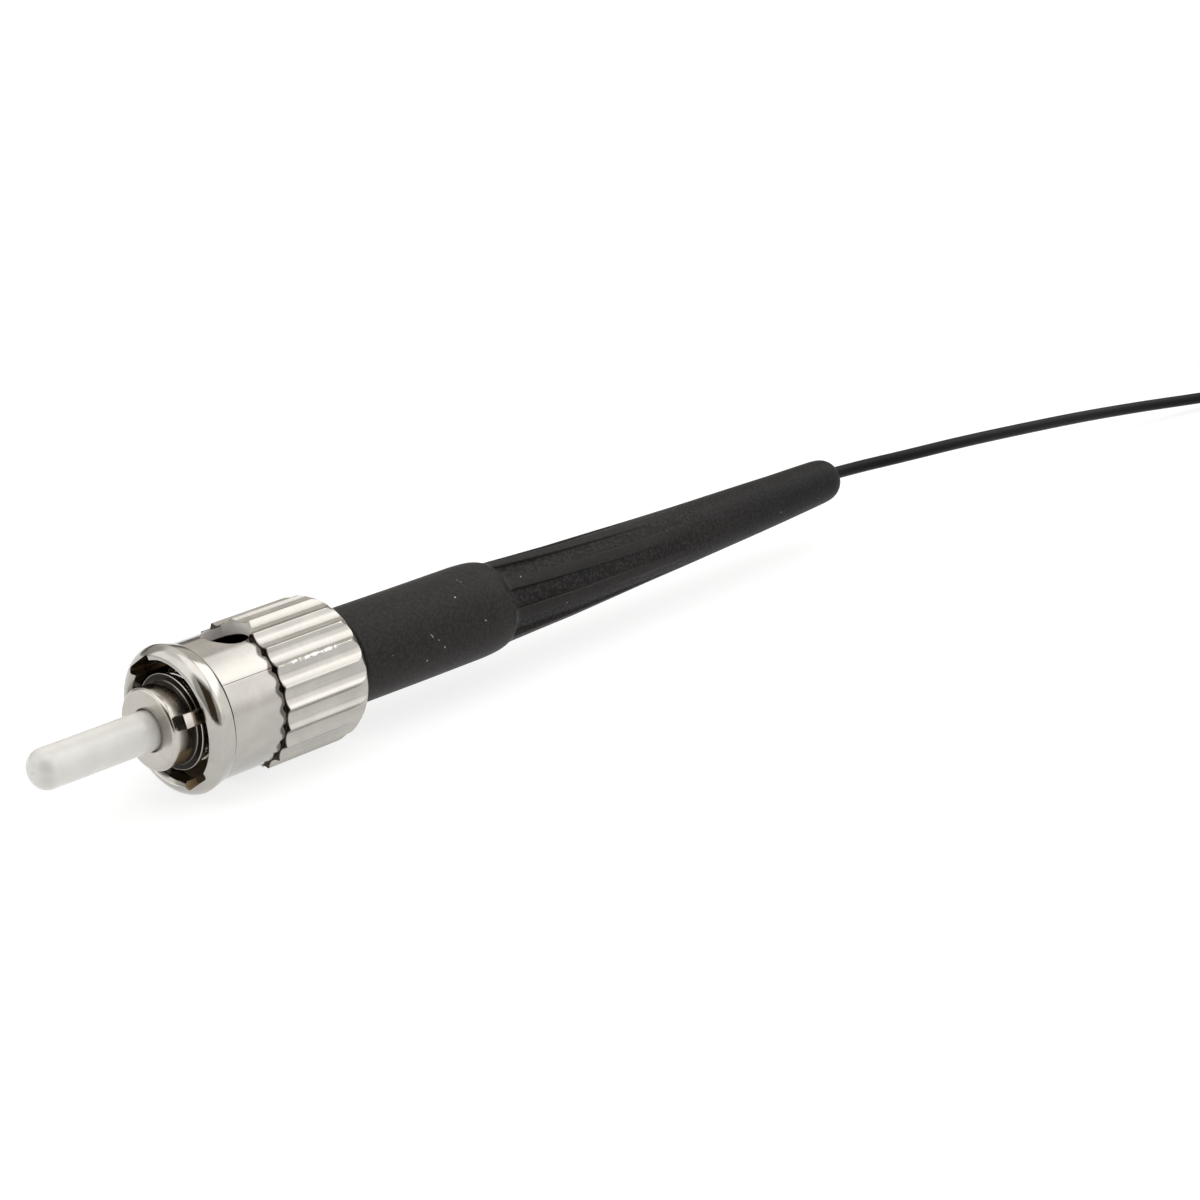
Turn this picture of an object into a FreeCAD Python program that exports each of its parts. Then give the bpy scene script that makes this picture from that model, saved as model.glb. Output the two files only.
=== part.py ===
import FreeCAD, Part
import math
import os

# Fibre patch cord: two bayonet connectors with 2.5 mm ceramic ferrules on a
# 0.9 mm buffered fibre.  Millimetres, +Z up, lying on the plane z = 0.  The
# near connector lies along X with its ferrule towards -X; the origin is under
# its middle.  Each connector is drawn about its own X axis, where the barrel's
# front face is at 10 and the boot's tail is at 72.75, and is then placed.

V = FreeCAD.Vector
doc = FreeCAD.newDocument("fibre_patch_cord")

# ---------------------------------------------------------------- dimensions
DIMENSIONS = [
    ("axis_height", 4.66),
    ("near_shift", -37.325),
    ("far_shift", 179.75),
    ("far_side", -3.45),
    # ferrule and glass
    ("ferrule_tip", 1.9),
    ("ferrule_rear", 14.0),
    ("ferrule_radius", 1.25),
    ("ferrule_nose", 0.9),
    ("ferrule_seat", 9.9),
    ("ferrule_seat_radius", 1.235),
    ("ferrule_cone", 13.0),
    ("ferrule_mouth", 0.5),
    ("glass_radius", 0.0625),
    ("glass_end", 14.1),
    # barrel
    ("barrel_front", 10.0),
    ("barrel_radius", 2.54),
    ("barrel_edge", 0.22),
    ("barrel_relief", 1.33),
    ("relief_end", 10.6),
    ("flange_front", 11.7),
    ("flange_rear", 12.0),
    ("flange_radius", 2.98),
    ("shank_radius", 2.25),
    ("clip_groove_front", 23.9),
    ("clip_groove_rear", 24.25),
    ("clip_groove_radius", 2.0),
    ("shank_end", 27.0),
    ("barrel_bore", 0.96),
    ("key_front", 10.25),
    ("key_length", 1.4),
    ("key_width", 0.9),
    ("key_foot", 2.2),
    ("key_radius", 3.45),
    ("key_angle", 156.0),
    # guide tube and buffered fibre
    ("guide_front", 14.15),
    ("guide_rear", 35.6),
    ("guide_radius", 0.94),
    ("guide_bore", 0.48),
    ("cord_radius", 0.45),
    ("stub_end", 72.35),
    # spring
    ("spring_front", 12.24),
    ("spring_radius", 2.68),
    ("spring_wire", 0.2),
    ("spring_pitch", 1.12),
    ("spring_rise", 9.5),
    # thrust washer
    ("washer_front", 21.97),
    ("washer_rear", 22.27),
    ("washer_bore", 2.31),
    ("washer_radius", 3.45),
    # retaining clip
    ("clip_front", 23.92),
    ("clip_thick", 0.3),
    ("clip_bore", 2.02),
    ("clip_radius", 2.9),
    ("clip_gap", 2.6),
    # coupling nut
    ("nut_bore", 3.65),
    ("nut_lip_inner", 11.62),
    ("nut_lip_front", 11.42),
    ("nut_lip_radius", 3.86),
    ("nut_rim_top", 12.15),
    ("nut_rim_radius", 4.62),
    ("nut_rim_round", 0.88),
    ("nut_rim_rear", 12.9),
    ("nut_rim_foot", 4.42),
    ("nut_rim_back", 1.6),
    ("nut_collar_front", 12.96),
    ("nut_collar_radius", 4.3),
    ("nut_grip_front", 16.9),
    ("nut_grip_edge", 0.06),
    ("nut_grip_radius", 4.66),
    ("nut_rear_start", 22.4),
    ("nut_rear", 23.8),
    ("nut_rear_round", 1.4),
    ("nut_wall_front", 22.3),
    ("nut_rear_bore", 2.31),
    ("flute_count", 22),
    ("flute_radius", 0.9),
    ("flute_centre", 5.26),
    ("flute_angle", 182.18),
    ("flute_start", 16.6),
    ("flute_length", 8.0),
    ("slot_front", 11.0),
    ("slot_length", 3.2),
    ("slot_width", 2.3),
    ("slot_radius", 4.06),
    ("slot_angle", 52.0),
    ("channel_front", 12.1),
    ("channel_rear", 14.2),
    ("channel_radius", 4.0),
    ("channel_rise", 3.1),
    ("channel_pitch", 5.1667),
    ("hole_centre", 16.2),
    ("hole_radius", 1.5),
    ("hole_angle", -2.0),
    # crimp post
    ("post_front", 24.6),
    ("post_rear", 36.0),
    ("post_stem", 2.28),
    ("post_barb", 2.58),
    ("post_bore", 0.97),
    # boot
    ("boot_front", 24.3),
    ("boot_radius", 3.1),
    ("boot_bore", 2.61),
    ("boot_edge", 0.25),
    ("boot_bore_end", 36.6),
    ("boot_shoulder", 35.7),
    ("boot_shoulder_rear", 37.6),
    ("boot_shoulder_radius", 2.93),
    ("boot_shoulder_round", 10.0),
    ("boot_neck", 38.0),
    ("boot_neck_radius", 2.745),
    ("boot_waist", 46.0),
    ("boot_waist_radius", 2.415),
    ("boot_middle", 54.3),
    ("boot_middle_radius", 2.09),
    ("boot_taper", 63.07),
    ("boot_taper_radius", 1.844),
    ("boot_tail_start", 70.0),
    ("boot_tail_radius", 1.61),
    ("boot_tail", 72.75),
    ("boot_tail_mouth", 0.62),
    ("boot_tail_round", 4.3),
    ("boot_cord_bore", 0.47),
    ("panel_count", 8),
    ("panel_width", 1.3),
    ("panel_front", 38.0),
    ("panel_floor", 2.57),
    ("panel_rear", 56.5),
    ("panel_end", 2.0),
    ("panel_angle", 155.3),
    # coil and tie
    ("coil_x", 95.1),
    ("coil_y", -1.73),
    ("coil_outer", 6.36),
    ("coil_inner", 3.64),
    ("coil_floor", 0.1),
    ("coil_top", 7.4),
    ("tie_thick", 0.09),
    ("tie_clear", 0.005),
    ("tie_angle", 26.0),
    ("tie_place", 45.0),
]
sheet = doc.addObject("Spreadsheet::Sheet", "dims")
for row, (name, value) in enumerate(DIMENSIONS, start=1):
    sheet.set("A%d" % row, name)
    sheet.set("B%d" % row, repr(value))
    sheet.setAlias("B%d" % row, name)
doc.recompute()


class Dim:
    """A size with the sheet expression that gives it."""

    def __init__(self, value, text):
        self.value = value
        self.text = text

    def _other(self, other):
        if isinstance(other, Dim):
            return other
        return Dim(float(other), repr(float(other)))

    def __add__(self, other):
        o = self._other(other)
        return Dim(self.value + o.value, "(%s + %s)" % (self.text, o.text))

    def __sub__(self, other):
        o = self._other(other)
        return Dim(self.value - o.value, "(%s - %s)" % (self.text, o.text))

    def __mul__(self, other):
        o = self._other(other)
        return Dim(self.value * o.value, "(%s * %s)" % (self.text, o.text))

    def __truediv__(self, other):
        o = self._other(other)
        return Dim(self.value / o.value, "(%s / %s)" % (self.text, o.text))


def d(name):
    return Dim(float(sheet.get(name)), "dims.%s" % name)


def size(name):
    return float(sheet.get(name))


# ------------------------------------------------------------------- helpers
def origin_part(body, role):
    return [o for o in body.Origin.OriginFeatures if o.Role == role][0]


def new_body(name):
    body = doc.addObject("PartDesign::Body", name)
    body.Label = name
    return body


def new_sketch(body, name, role, offset=None):
    sk = body.newObject("Sketcher::SketchObject", name)
    sk.AttachmentSupport = [(origin_part(body, role), "")]
    sk.MapMode = "FlatFace"
    if offset is not None:
        sk.AttachmentOffset = offset
    return sk


def bind(sk, index, dim):
    sk.setExpression("Constraints[%d]" % index, dim.text)


def place_point(sk, geo, pos, x, y):
    """Fix one sketch point from the origin, by two sizes of the sheet."""
    for kind, dim in (("DistanceX", x), ("DistanceY", y)):
        if abs(dim.value) < 1e-9:
            axis = -2 if kind == "DistanceX" else -1
            sk.addConstraint(Part_constraint("PointOnObject", geo, pos, axis))
            continue
        index = sk.addConstraint(Part_constraint(kind, -1, 1, geo, pos, dim.value))
        bind(sk, index, dim)


def Part_constraint(*args):
    import Sketcher

    return Sketcher.Constraint(*args)


def outline(sk, points):
    """Closed outline of (x, y) or (x, y, radius, side): the radius rounds the
    way to the next point, and side +1 has the arc's centre on the left."""
    n = len(points)
    ends = []
    for i in range(n):
        p, q = points[i], points[(i + 1) % n]
        a, b = V(p[0].value, p[1].value, 0), V(q[0].value, q[1].value, 0)
        if len(p) == 2:
            geo = sk.addGeometry(Part.LineSegment(a, b), False)
            ends.append((geo, 1, 2))
            continue
        radius, side = p[2].value, p[3]
        half = (b - a).Length / 2
        left = V(-(b - a).y, (b - a).x, 0).normalize()
        centre = (a + b) * 0.5 + left * (side * math.sqrt(max(radius**2 - half**2, 0)))
        ang = [math.atan2(w.y - centre.y, w.x - centre.x) for w in (a, b)]
        circle = Part.Circle(centre, V(0, 0, 1), radius)
        if side > 0:
            geo = sk.addGeometry(Part.ArcOfCircle(circle, ang[0], ang[1]), False)
            ends.append((geo, 1, 2))
        else:
            geo = sk.addGeometry(Part.ArcOfCircle(circle, ang[1], ang[0]), False)
            ends.append((geo, 2, 1))
    for i in range(n):
        g, _, last = ends[i]
        h, first, _ = ends[(i + 1) % n]
        sk.addConstraint(Part_constraint("Coincident", g, last, h, first))
    for i in range(n):
        g, first, _ = ends[i]
        place_point(sk, g, first, points[i][0], points[i][1])
        if len(points[i]) == 4:
            index = sk.addConstraint(Part_constraint("Radius", g, points[i][2].value))
            bind(sk, index, points[i][2])
    return sk


def ring_circle(sk, x, y, radius):
    geo = sk.addGeometry(Part.Circle(V(x.value, y.value, 0), V(0, 0, 1), radius.value), False)
    place_point(sk, geo, 3, x, y)
    index = sk.addConstraint(Part_constraint("Radius", geo, radius.value))
    bind(sk, index, radius)


def revolve(body, name, points):
    sk = outline(new_sketch(body, name + "_section", "XY_Plane"), points)
    rev = body.newObject("PartDesign::Revolution", name + "_turned")
    rev.Profile = (sk, [""])
    rev.ReferenceAxis = (sk, ["H_Axis"])
    rev.Angle = 360
    doc.recompute()
    return rev


def about_x(angle, along=0.0):
    """Turns a sketch on the YZ plane about X, and moves it along X."""
    return FreeCAD.Placement(V(0, 0, along), FreeCAD.Rotation(V(0, 0, 1), angle))


def tilted(angle):
    """Turns a sketch on the XY plane about X."""
    return FreeCAD.Placement(V(0, 0, 0), FreeCAD.Rotation(V(1, 0, 0), angle))


def bind_offset(sk, along=None, angle=None):
    if along is not None:
        sk.setExpression("AttachmentOffset.Base.z", along.text)
    if angle is not None:
        sk.setExpression("AttachmentOffset.Rotation.Angle", angle.text)


def cut_check(body, before, what):
    doc.recompute()
    after = body.Shape.Volume
    if not after < before - 1e-4:
        raise RuntimeError("%s cut nothing" % what)
    return after


def polar(body, name, originals, count):
    pat = body.newObject("PartDesign::PolarPattern", name)
    pat.Originals = originals
    pat.Axis = (origin_part(body, "X_Axis"), [""])
    pat.Angle = 360
    pat.Occurrences = int(count.value)
    pat.setExpression("Occurrences", count.text)
    body.Tip = pat
    doc.recompute()
    return pat


subparts = []


def keep(obj, label, placement=None):
    obj.Label = label
    if placement is not None:
        obj.Placement = placement
    subparts.append(obj)
    return obj


# -------------------------------------------------------------- the connector
def connector(end, at):
    # White ceramic ferrule: a round nose, a fine bore, a bonded seat that
    # tapers a hair towards the rear, and a cone there that leads the glass in.
    body = new_body(end + "_ferrule")
    tip, rad, nose = d("ferrule_tip"), d("ferrule_radius"), d("ferrule_nose")
    revolve(body, end + "_ferrule", [
        (tip, d("glass_radius")),
        (d("ferrule_cone"), d("glass_radius")),
        (d("ferrule_rear"), d("ferrule_mouth")),
        (d("ferrule_rear"), d("ferrule_seat_radius")),
        (d("ferrule_seat"), rad),
        (tip + nose, rad, nose, 1),
        (tip, rad - nose),
    ])
    keep(body, end + "_ferrule", at)

    # The bare glass in the ferrule's bore.
    glass = doc.addObject("Part::Cylinder", end + "_glass_fibre")
    glass.setExpression("Radius", d("glass_radius").text)
    glass.setExpression("Height", (d("glass_end") - tip).text)
    doc.recompute()
    keep(glass, end + "_glass_fibre",
         at.multiply(FreeCAD.Placement(V(tip.value, 0, 0), FreeCAD.Rotation(V(0, 1, 0), 90))))

    # Turned barrel: front ring with a rounded edge, spring flange, long shank
    # with the clip's groove, and the key block on one side.
    body = new_body(end + "_barrel")
    front, edge, ring = d("barrel_front"), d("barrel_edge"), d("barrel_radius")
    shank = d("shank_radius")
    revolve(body, end + "_barrel", [
        (front, d("barrel_relief")),
        (d("relief_end"), d("barrel_relief")),
        (d("relief_end"), rad),
        (d("ferrule_rear"), rad),
        (d("ferrule_rear"), d("barrel_bore")),
        (d("shank_end"), d("barrel_bore")),
        (d("shank_end"), shank),
        (d("clip_groove_rear"), shank),
        (d("clip_groove_rear"), d("clip_groove_radius")),
        (d("clip_groove_front"), d("clip_groove_radius")),
        (d("clip_groove_front"), shank),
        (d("flange_rear"), shank),
        (d("flange_rear"), d("flange_radius")),
        (d("flange_front"), d("flange_radius")),
        (d("flange_front"), ring),
        (front + edge, ring, edge, 1),
        (front, ring - edge),
    ])
    sk = new_sketch(body, end + "_key_section", "YZ_Plane", about_x(size("key_angle"), size("key_front")))
    bind_offset(sk, d("key_front"), d("key_angle"))
    half = d("key_width") / 2
    minus = d("key_width") * -0.5
    outline(sk, [(d("key_foot"), minus), (d("key_radius"), minus),
                 (d("key_radius"), half), (d("key_foot"), half)])
    pad = body.newObject("PartDesign::Pad", end + "_key")
    pad.Profile = (sk, [""])
    pad.setExpression("Length", d("key_length").text)
    doc.recompute()
    keep(body, end + "_barrel", at)

    # Plastic tube in the barrel that guides the buffered fibre to the ferrule.
    body = new_body(end + "_guide_tube")
    revolve(body, end + "_guide_tube", [
        (d("guide_front"), d("guide_bore")), (d("guide_rear"), d("guide_bore")),
        (d("guide_rear"), d("guide_radius")), (d("guide_front"), d("guide_radius")),
    ])
    keep(body, end + "_guide_tube", at)

    # The buffered fibre from the ferrule to just inside the boot's tail.
    stub = doc.addObject("Part::Cylinder", end + "_buffered_fibre")
    stub.setExpression("Radius", d("cord_radius").text)
    stub.setExpression("Height", (d("stub_end") - d("glass_end")).text)
    doc.recompute()
    keep(stub, end + "_buffered_fibre",
         at.multiply(FreeCAD.Placement(V(size("glass_end"), 0, 0), FreeCAD.Rotation(V(0, 1, 0), 90))))

    # Compression spring round the shank, from the flange to the washer.
    body = new_body(end + "_spring")
    sk = new_sketch(body, end + "_wire", "XY_Plane")
    ring_circle(sk, d("spring_front"), d("spring_radius"), d("spring_wire"))
    coil = body.newObject("PartDesign::AdditiveHelix", end + "_coils")
    coil.Profile = (sk, [""])
    coil.ReferenceAxis = (sk, ["H_Axis"])
    coil.Mode = 0
    coil.setExpression("Pitch", d("spring_pitch").text)
    coil.setExpression("Height", d("spring_rise").text)
    doc.recompute()
    keep(body, end + "_spring", at)

    # Flat washer that carries the spring's push to the nut's rear wall.
    body = new_body(end + "_thrust_washer")
    revolve(body, end + "_thrust_washer", [
        (d("washer_front"), d("washer_bore")), (d("washer_rear"), d("washer_bore")),
        (d("washer_rear"), d("washer_radius")), (d("washer_front"), d("washer_radius")),
    ])
    keep(body, end + "_thrust_washer", at)

    # Open clip in the shank's groove, which the nut rests against.
    body = new_body(end + "_retaining_clip")
    clip_end = d("clip_front") + d("clip_thick")
    revolve(body, end + "_retaining_clip", [
        (d("clip_front"), d("clip_bore")), (clip_end, d("clip_bore")),
        (clip_end, d("clip_radius")), (d("clip_front"), d("clip_radius")),
    ])
    before = body.Shape.Volume
    sk = new_sketch(body, end + "_clip_mouth", "YZ_Plane", about_x(0.0, size("clip_front") - 0.5))
    bind_offset(sk, d("clip_front") - 0.5)
    mouth = d("clip_gap") / 2
    shut = d("clip_gap") * -0.5
    outline(sk, [(d("clip_bore") * 0.4, shut), (d("clip_radius") + 1, shut),
                 (d("clip_radius") + 1, mouth), (d("clip_bore") * 0.4, mouth)])
    cut = body.newObject("PartDesign::Pocket", end + "_clip_opening")
    cut.Profile = (sk, [""])
    cut.Reversed = True
    cut.setExpression("Length", (d("clip_thick") + 1).text)
    cut_check(body, before, "clip mouth")
    keep(body, end + "_retaining_clip", at)

    # Coupling nut: rolled rim, plain collar, fluted grip with a rounded rear
    # edge, and a rear wall that runs on the shank.
    body = new_body(end + "_coupling_nut")
    revolve(body, end + "_coupling_nut", [
        (d("nut_lip_inner"), d("nut_bore")),
        (d("nut_wall_front"), d("nut_bore")),
        (d("nut_wall_front"), d("nut_rear_bore")),
        (d("nut_rear"), d("nut_rear_bore")),
        (d("nut_rear"), d("nut_grip_radius") - d("nut_rear_round"), d("nut_rear_round"), 1),
        (d("nut_rear_start"), d("nut_grip_radius")),
        (d("nut_grip_front") + d("nut_grip_edge"), d("nut_grip_radius")),
        (d("nut_grip_front"), d("nut_grip_radius") - d("nut_grip_edge")),
        (d("nut_grip_front"), d("nut_collar_radius")),
        (d("nut_collar_front"), d("nut_collar_radius")),
        (d("nut_rim_rear"), d("nut_rim_foot"), d("nut_rim_back"), 1),
        (d("nut_rim_top"), d("nut_rim_radius"), d("nut_rim_round"), 1),
        (d("nut_lip_front"), d("nut_lip_radius")),
    ])
    before = body.Shape.Volume
    # Hollow flutes along the grip, which leave sharp ridges and run out on the
    # rounded rear edge.
    sk = new_sketch(body, end + "_flute_section", "YZ_Plane", about_x(size("flute_angle"), size("flute_start")))
    bind_offset(sk, d("flute_start"), d("flute_angle"))
    ring_circle(sk, d("flute_centre"), Dim(0.0, "0"), d("flute_radius"))
    flute = body.newObject("PartDesign::Pocket", end + "_flute")
    flute.Profile = (sk, [""])
    flute.Reversed = True
    flute.setExpression("Length", d("flute_length").text)
    before = cut_check(body, before, "flute")
    polar(body, end + "_flutes", [flute], d("flute_count"))
    before = cut_check(body, before, "flutes")
    # Bayonet: an entry slot through the rim, a helical channel in the bore and
    # a round detent hole at the channel's end, twice round.
    sk = new_sketch(body, end + "_slot_section", "YZ_Plane", about_x(size("slot_angle"), size("slot_front")))
    bind_offset(sk, d("slot_front"), d("slot_angle"))
    half = d("slot_width") / 2
    minus = d("slot_width") * -0.5
    inside = d("nut_bore") - 0.6
    outline(sk, [(inside, minus), (d("slot_radius"), minus), (d("slot_radius"), half), (inside, half)])
    slot = body.newObject("PartDesign::Pocket", end + "_slot")
    slot.Profile = (sk, [""])
    slot.Reversed = True
    slot.setExpression("Length", d("slot_length").text)
    before = cut_check(body, before, "slot")
    sk = new_sketch(body, end + "_channel_section", "XY_Plane", tilted(size("slot_angle")))
    bind_offset(sk, None, d("slot_angle"))
    outline(sk, [(d("channel_front"), d("nut_bore") - 0.4), (d("channel_rear"), d("nut_bore") - 0.4),
                 (d("channel_rear"), d("channel_radius")), (d("channel_front"), d("channel_radius"))])
    channel = body.newObject("PartDesign::SubtractiveHelix", end + "_channel")
    channel.Profile = (sk, [""])
    channel.ReferenceAxis = (sk, ["H_Axis"])
    channel.Mode = 0
    channel.setExpression("Pitch", d("channel_pitch").text)
    channel.setExpression("Height", d("channel_rise").text)
    before = cut_check(body, before, "channel")
    sk = new_sketch(body, end + "_hole_section", "XY_Plane", tilted(size("hole_angle")))
    ring_circle(sk, d("hole_centre"), Dim(0.0, "0"), d("hole_radius"))
    hole = body.newObject("PartDesign::Pocket", end + "_hole")
    hole.Profile = (sk, [""])
    hole.Reversed = True
    hole.setExpression("Length", (d("nut_grip_radius") + 1).text)
    before = cut_check(body, before, "hole")
    polar(body, end + "_bayonet", [slot, channel, hole], Dim(2.0, "2"))
    cut_check(body, before, "bayonet")
    keep(body, end + "_coupling_nut", at)

    # Post pressed on the shank, with barbs that the boot grips.
    body = new_body(end + "_crimp_post")
    stem, barb = d("post_stem"), d("post_barb")
    rear = d("post_rear")
    revolve(body, end + "_crimp_post", [
        (d("post_front"), shank),
        (d("shank_end"), shank),
        (d("shank_end"), d("post_bore")),
        (rear, d("post_bore")),
        (rear, stem),
        (rear - 1.4, barb),
        (rear - 1.6, stem),
        (rear - 2.6, stem),
        (rear - 4.0, barb),
        (rear - 4.2, stem),
        (rear - 5.2, stem),
        (rear - 6.6, barb),
        (rear - 6.8, stem),
        (rear - 8.2, stem),
        (rear - 8.4, barb),
        (d("post_front"), barb),
    ])
    keep(body, end + "_crimp_post", at)

    # Rubber boot: plain front sleeve, soft shoulder, long taper with shallow
    # recessed panels that run out, and a domed tail.
    body = new_body(end + "_boot")
    front, edge, outer = d("boot_front"), d("boot_edge"), d("boot_radius")
    revolve(body, end + "_boot", [
        (front, d("boot_bore")),
        (d("boot_bore_end"), d("boot_bore")),
        (d("boot_bore_end"), d("boot_cord_bore")),
        (d("boot_tail"), d("boot_cord_bore")),
        (d("boot_tail"), d("boot_tail_mouth"), d("boot_tail_round"), 1),
        (d("boot_tail_start"), d("boot_tail_radius")),
        (d("boot_taper"), d("boot_taper_radius")),
        (d("boot_middle"), d("boot_middle_radius")),
        (d("boot_waist"), d("boot_waist_radius")),
        (d("boot_neck"), d("boot_neck_radius")),
        (d("boot_shoulder_rear"), d("boot_shoulder_radius"), d("boot_shoulder_round"), 1),
        (d("boot_shoulder"), outer),
        (front + edge, outer),
        (front, outer - edge),
    ])
    before = body.Shape.Volume
    sk = new_sketch(body, end + "_panel_section", "XY_Plane", tilted(size("panel_angle")))
    bind_offset(sk, None, d("panel_angle"))
    outline(sk, [(d("panel_front"), d("panel_floor")), (d("panel_rear"), d("panel_end")),
                 (d("panel_rear"), outer), (d("panel_front"), outer)])
    panel = body.newObject("PartDesign::Pocket", end + "_panel")
    panel.Profile = (sk, [""])
    panel.Midplane = True
    panel.setExpression("Length", d("panel_width").text)
    before = cut_check(body, before, "panel")
    polar(body, end + "_panels", [panel], d("panel_count"))
    cut_check(body, before, "panels")
    keep(body, end + "_boot", at)


near_at = FreeCAD.Placement(V(size("near_shift"), 0, size("axis_height")), FreeCAD.Rotation())
far_at = FreeCAD.Placement(
    V(size("far_shift"), size("far_side"), size("axis_height")), FreeCAD.Rotation(V(0, 0, 1), 180)
)
connector("near", near_at)
connector("far", far_at)


# -------------------------------------------------------------------- the cord
def cord_tube(label, points, radius):
    """A round tube along straight runs joined by tangent arcs, each as large
    as its two runs allow."""
    pts = [V(*p) for p in points]
    edges = []
    radii = []
    last = pts[0]
    for i in range(1, len(pts) - 1):
        a, b, c = pts[i - 1], pts[i], pts[i + 1]
        u, w = (a - b), (c - b)
        short = min(u.Length, w.Length)
        u.normalize()
        w.normalize()
        turn = math.pi - u.getAngle(w)
        reach = 0.45 * short
        bend = reach / math.tan(turn / 2)
        radii.append(bend)
        s, e = b + u * reach, b + w * reach
        inward = (u + w).normalize()
        mid = b + inward * (math.hypot(bend, reach) - bend)
        edges.append(Part.LineSegment(last, s).toShape())
        edges.append(Part.Arc(s, mid, e).toShape())
        last = e
    edges.append(Part.LineSegment(last, pts[-1]).toShape())
    path = Part.Wire(edges)
    start = (pts[1] - pts[0]).normalize()
    ring = Part.Wire([Part.Edge(Part.Circle(pts[0], start, radius))])
    shape = path.makePipeShell([ring], True, False)
    want = math.pi * radius**2 * path.Length
    print("%s: length %.2f, radii %s, volume %.4f of %.4f" % (
        label, path.Length, " ".join("%.1f" % r for r in radii), shape.Volume, want))
    if abs(shape.Volume - want) > 0.01 * want:
        raise RuntimeError("%s has the wrong volume" % label)
    obj = doc.addObject("Part::Feature", label)
    obj.Shape = shape
    keep(obj, label, FreeCAD.Placement())
    return path.Length


NEAR_ROUTE = [
    (35.025, 0.0, 4.66),
    (38.0, 0.0, 4.66),
    (42.5, -0.72, 4.5),
    (49.0, -1.25, 4.02),
    (56.5, -1.39, 3.28),
    (64.5, -1.46, 2.4),
    (72.3, -1.98, 1.55),
    (79.3, -3.25, 0.95),
    (86.2, -5.0, 0.62),
    (92.918, -7.212, 0.56),
]
FAR_ROUTE = [
    (98.05, -6.84, 6.86),
    (100.25, -5.56, 6.62),
    (102.55, -4.28, 5.8),
    (104.88, -3.48, 4.83),
    (107.4, -3.45, 4.66),
]
cord_tube("cord_near_lead", NEAR_ROUTE, size("cord_radius"))
cord_tube("cord_far_lead", FAR_ROUTE, size("cord_radius"))

# The put-away length as one ring of the coil's outer shape.
coil_at = FreeCAD.Placement(V(size("coil_x"), size("coil_y"), 0), FreeCAD.Rotation())
body = new_body("cord_coil")
sk = new_sketch(body, "coil_section", "XZ_Plane")
outline(sk, [(d("coil_inner"), d("coil_floor")), (d("coil_outer"), d("coil_floor")),
             (d("coil_outer"), d("coil_top")), (d("coil_inner"), d("coil_top"))])
ring = body.newObject("PartDesign::Revolution", "coil_turned")
ring.Profile = (sk, [""])
ring.ReferenceAxis = (sk, ["V_Axis"])
ring.Angle = 360
doc.recompute()
keep(body, "cord_coil", coil_at)

# A thin band round the coil's bundle.
gap, thick = d("tie_clear"), d("tie_thick")
body = new_body("coil_tie")
sk = new_sketch(body, "tie_section", "XZ_Plane")
x0, x1 = d("coil_inner") - gap, d("coil_outer") + gap
z0, z1 = d("coil_floor") - gap, d("coil_top") + gap
outline(sk, [(x0 - thick, z0 - thick), (x1 + thick, z0 - thick),
             (x1 + thick, z1 + thick), (x0 - thick, z1 + thick)])
outline(sk, [(x0, z0), (x1, z0), (x1, z1), (x0, z1)])
band = body.newObject("PartDesign::Revolution", "tie_turned")
band.Profile = (sk, [""])
band.ReferenceAxis = (sk, ["V_Axis"])
band.setExpression("Angle", d("tie_angle").text)
band.Midplane = True
doc.recompute()
keep(body, "coil_tie", coil_at.multiply(FreeCAD.Placement(V(0, 0, 0), FreeCAD.Rotation(V(0, 0, 1), size("tie_place")))))

# ---------------------------------------------------------------- check, write
doc.recompute()
bad = [o.Name for o in doc.Objects if "Invalid" in o.State or "Error" in o.State]
if bad:
    raise RuntimeError("failed objects: %s" % bad)
for obj in subparts:
    shape = obj.Shape
    if shape.isNull() or not shape.isValid() or len(shape.Solids) != 1:
        raise RuntimeError("bad shape: %s, %d solids" % (obj.Label, len(shape.Solids)))
os.makedirs("parts", exist_ok=True)
for obj in subparts:
    obj.Shape.exportStep(os.path.join("parts", obj.Label + ".step"))
    box = obj.Shape.BoundBox
    print("%-22s volume %9.3f  x %.2f %.2f  y %.2f %.2f  z %.2f %.2f" % (
        obj.Label, obj.Shape.Volume, box.XMin, box.XMax, box.YMin, box.YMax, box.ZMin, box.ZMax))
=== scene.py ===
import math

import bmesh
import bpy
import numpy as np
from mathutils import Matrix, Vector


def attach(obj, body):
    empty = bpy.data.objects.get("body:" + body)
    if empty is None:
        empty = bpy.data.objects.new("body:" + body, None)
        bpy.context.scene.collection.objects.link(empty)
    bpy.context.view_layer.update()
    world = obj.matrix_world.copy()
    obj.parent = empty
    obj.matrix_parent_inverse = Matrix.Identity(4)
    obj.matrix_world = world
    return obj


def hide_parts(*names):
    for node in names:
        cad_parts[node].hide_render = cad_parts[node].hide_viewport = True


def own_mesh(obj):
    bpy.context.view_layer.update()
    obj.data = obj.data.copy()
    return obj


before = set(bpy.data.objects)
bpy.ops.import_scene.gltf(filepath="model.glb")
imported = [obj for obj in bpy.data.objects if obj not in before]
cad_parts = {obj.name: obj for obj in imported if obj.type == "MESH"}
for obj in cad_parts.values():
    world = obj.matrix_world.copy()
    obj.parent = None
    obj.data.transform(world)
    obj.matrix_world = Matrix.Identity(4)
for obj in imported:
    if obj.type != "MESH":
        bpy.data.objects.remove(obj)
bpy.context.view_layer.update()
scene = bpy.context.scene
MM = 0.001

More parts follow.
